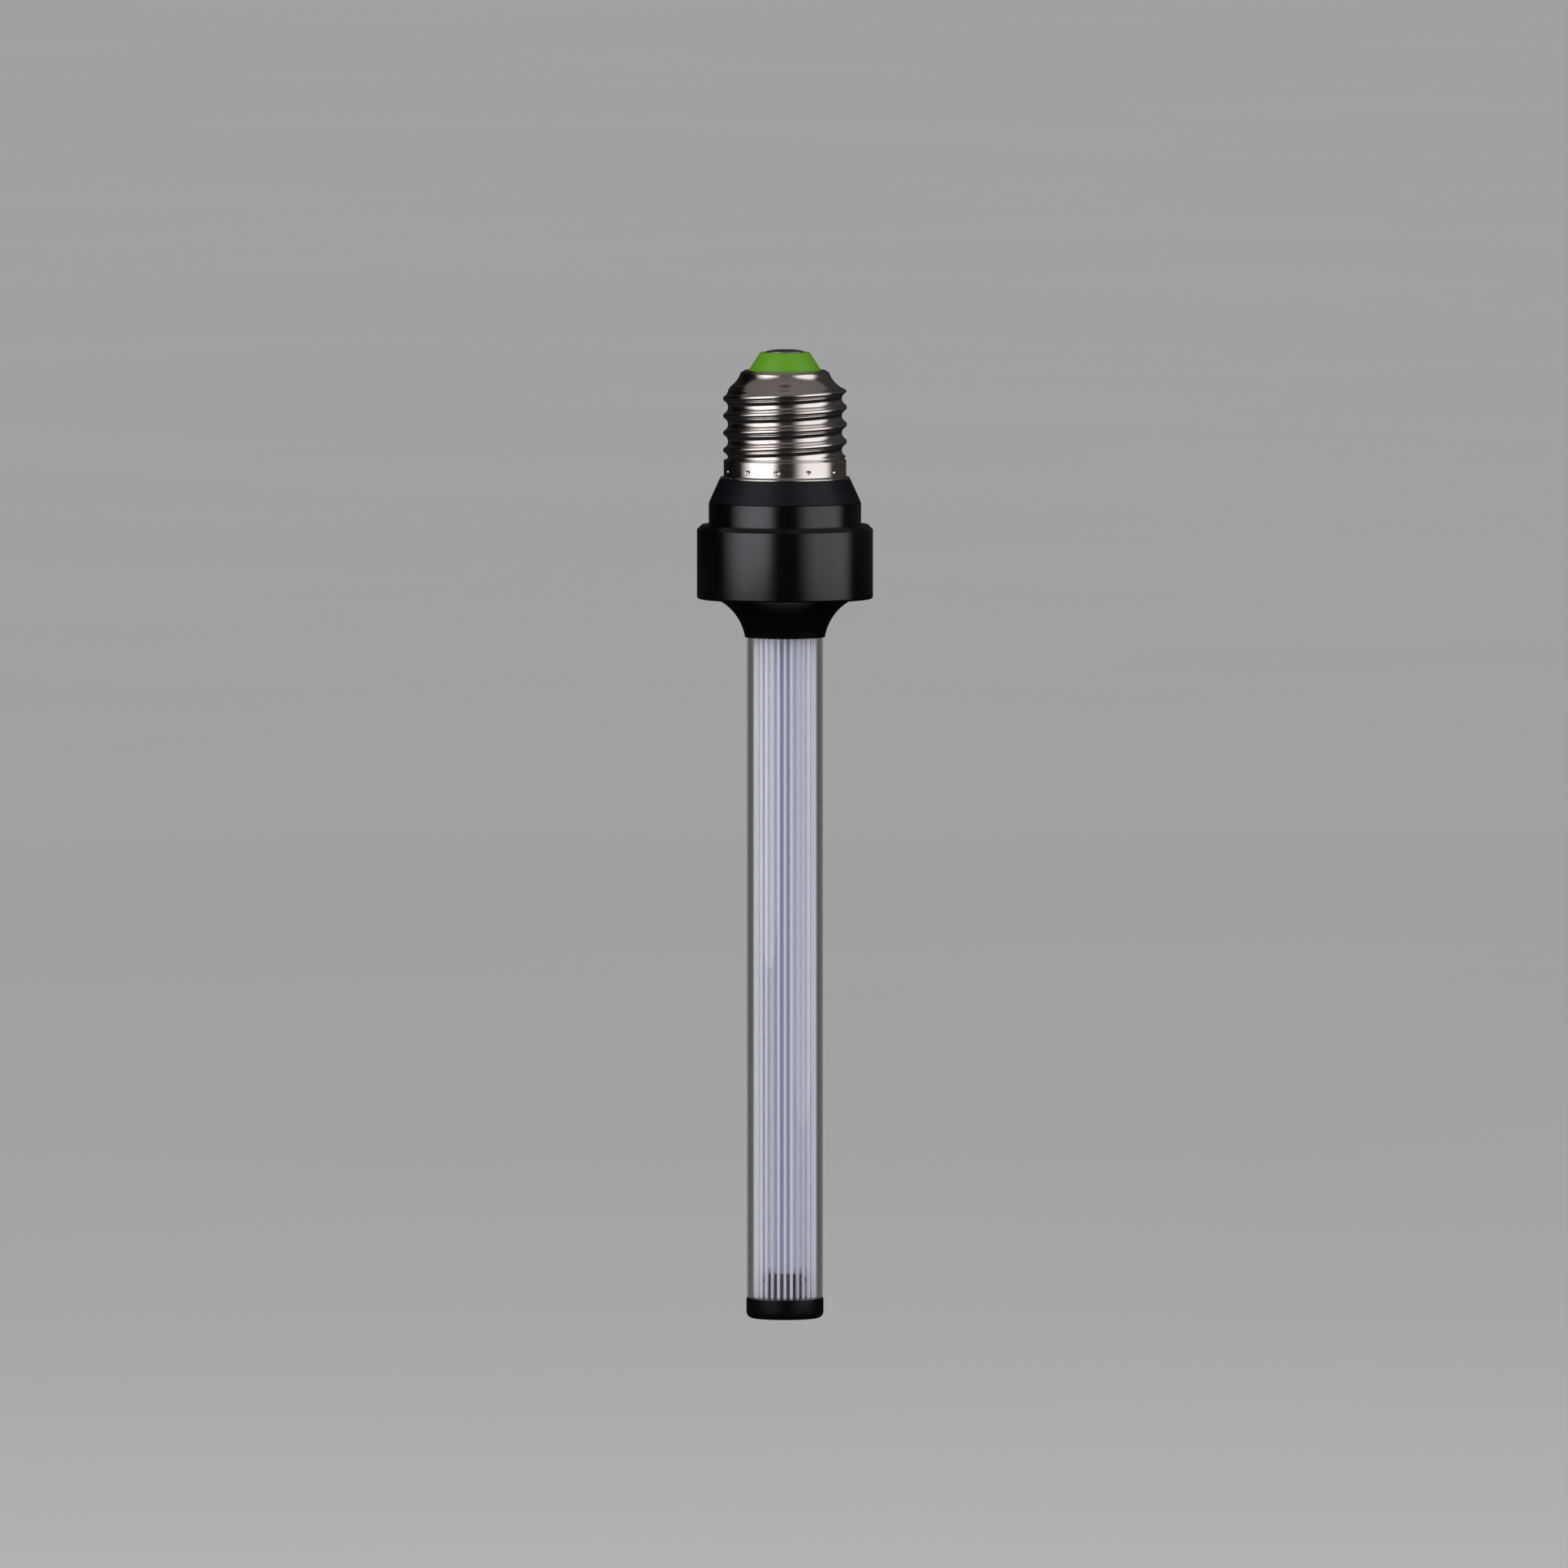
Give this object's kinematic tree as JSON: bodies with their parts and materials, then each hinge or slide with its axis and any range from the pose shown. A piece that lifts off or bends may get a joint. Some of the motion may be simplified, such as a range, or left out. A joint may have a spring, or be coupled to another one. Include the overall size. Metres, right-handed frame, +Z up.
{
  "type": "forked filament bulb",
  "caption": "Long slim LED lamp with an Edison screw cap, a black collar with a flared socket, and a clear tube round a forked, ribbed light guide, hung cap up.",
  "frame": {"origin": "the tip of the centre contact, on the lamp's axis", "axes": "+Z up along the lamp's axis and out of its cap, the tube hanging down; -Y towards the picture's viewer"},
  "size_m": [0.0372, 0.0372, 0.205],
  "materials": {
    "contact_metal": "satin, with a faint purple cast",
    "insulator_green": "semi-gloss moulded",
    "shell_nickel": "bright nickel plating, slightly warm",
    "housing_black": "fine matt moulding",
    "collar_black": "satin black",
    "socket_black": "satin black",
    "cap_black": "satin black",
    "clear_tube": "clear",
    "clear_guide": "clear, ribs frosted white",
    "plug_black": "satin black",
    "board_green": "solder mask",
    "board_white": "white solder mask on metal",
    "led_yellow": "phosphor",
    "can_metal": "bright can",
    "ferrite": "matt ceramic",
    "enamelled_copper": "varnished",
    "resistor_coat": "matt coating",
    "film_yellow": "moulded box",
    "chip_black": "matt epoxy",
    "sheet_clear": "thin film",
    "pad_grey": "soft pad",
    "tinned_wire": "tinned",
    "wire_red": "wire sleeve",
    "wire_black": "wire sleeve"
  },
  "bodies": {
    "root": {"centre_contact": "contact_metal", "contact_insulator": "insulator_green", "screw_shell": "shell_nickel", "insulating_housing": "housing_black", "live_lead": "tinned_wire", "neutral_lead": "tinned_wire", "fusible_resistor": "resistor_coat", "driver_board": "board_green", "smoothing_capacitor": "can_metal", "choke_core": "ferrite", "choke_winding": "enamelled_copper", "bridge_rectifier": "chip_black", "film_capacitor": "film_yellow", "driver_chip": "chip_black", "insulating_disc": "sheet_clear", "heat_sink_collar": "collar_black", "thermal_pad": "pad_grey", "led_board": "board_white", "led_packages": "led_yellow", "led_lead_positive": "wire_red", "led_lead_negative": "wire_black", "tube_socket": "socket_black", "outer_tube": "clear_tube", "light_guide": "clear_guide", "guide_plug": "plug_black", "end_cap": "cap_black"}
  },
  "joints": []
}
